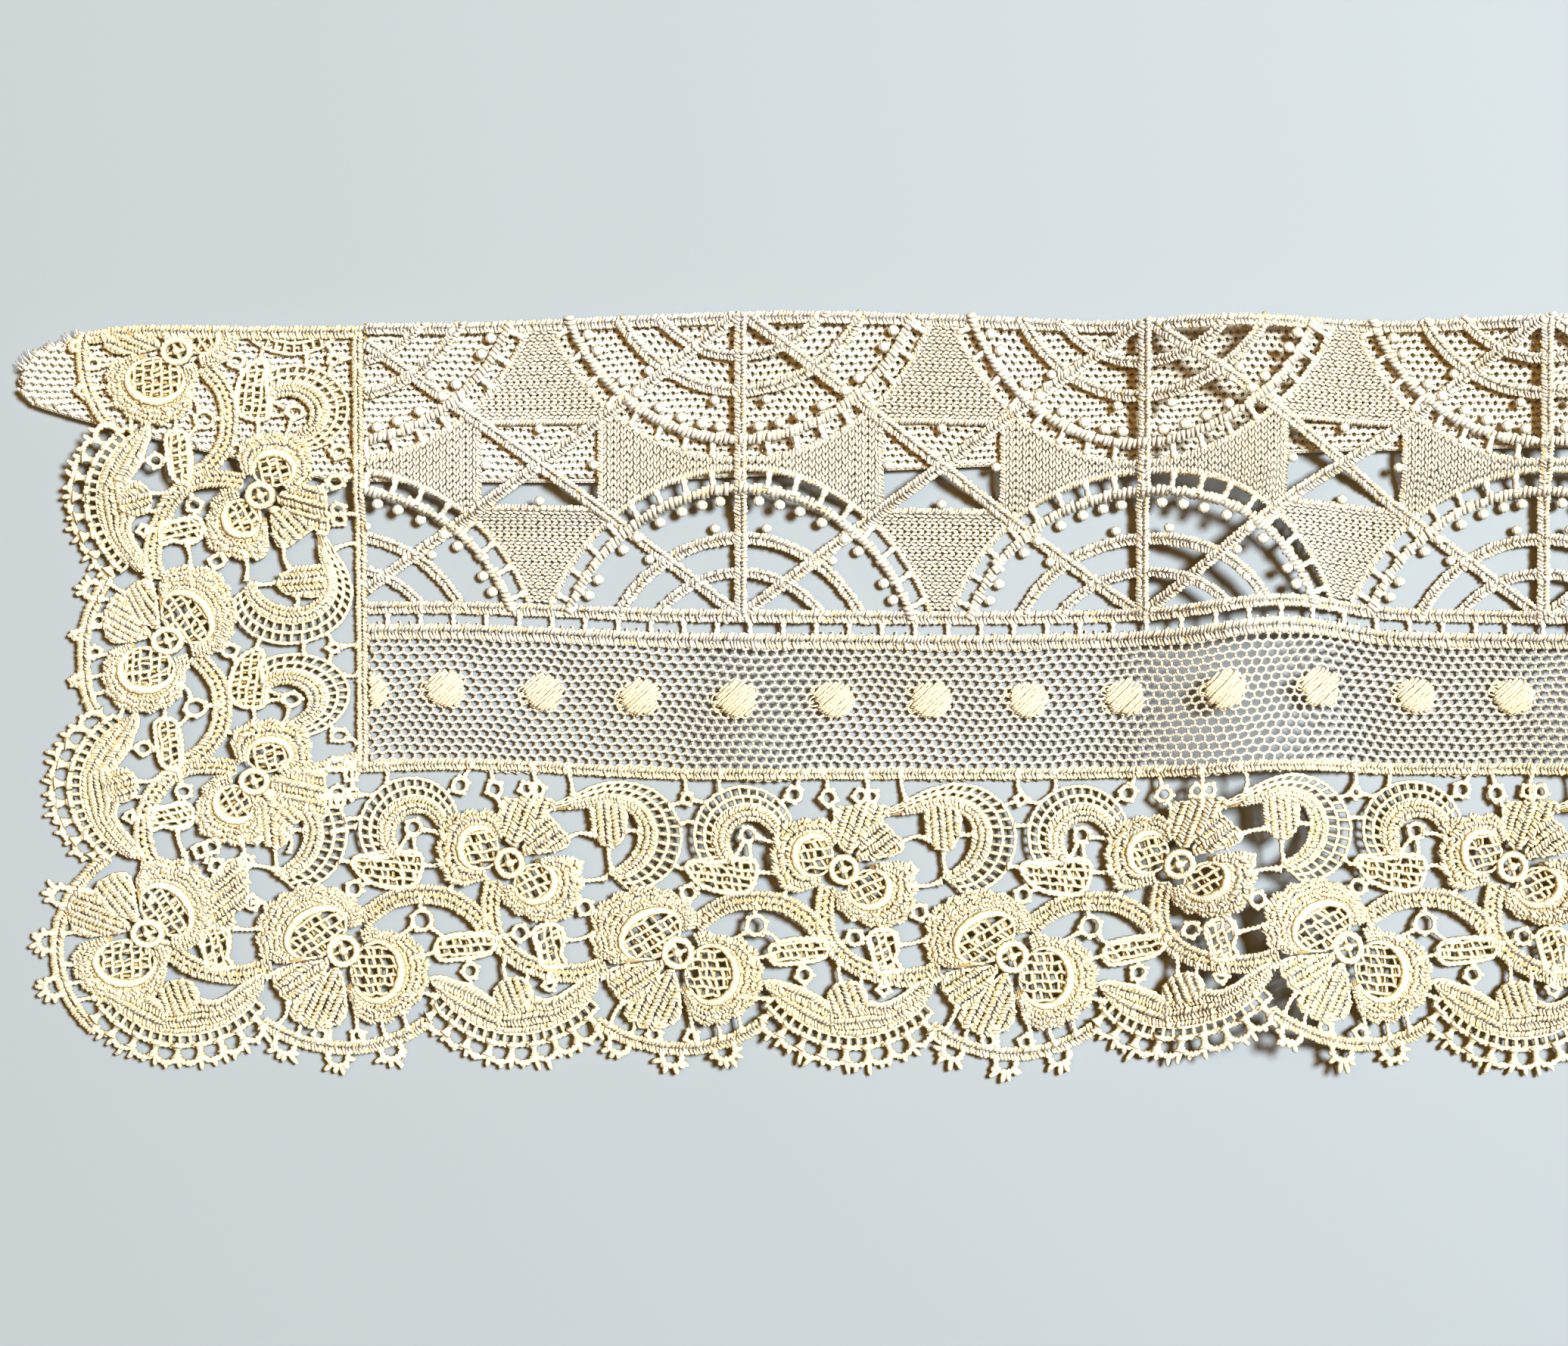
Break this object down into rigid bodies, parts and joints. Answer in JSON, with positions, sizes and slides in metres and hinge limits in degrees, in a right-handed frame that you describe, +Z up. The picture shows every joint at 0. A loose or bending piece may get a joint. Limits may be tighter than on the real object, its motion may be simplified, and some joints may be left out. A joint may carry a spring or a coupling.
{
  "type": "lace border",
  "caption": "Embroidered cotton lace border with a wheel insertion, a dotted net band and a scalloped floral edging mitred round one corner, lying flat on a table.",
  "frame": {"origin": "middle of the part's box, at the surface that it lies on", "axes": "+X along the lace from the finished end to the cut end, +Y up its width from the scallops to the top edge, +Z up from the surface"},
  "size_m": [0.2116, 0.0976, 0.0082],
  "materials": {
    "guipure": "matt cream cotton thread",
    "net": "matt pale cream cotton net"
  },
  "bodies": {
    "root": {"wheel_insertion": "guipure", "dotted_net": "net", "lower_border": "guipure", "side_border": "guipure", "net_backing": "net"}
  },
  "joints": []
}
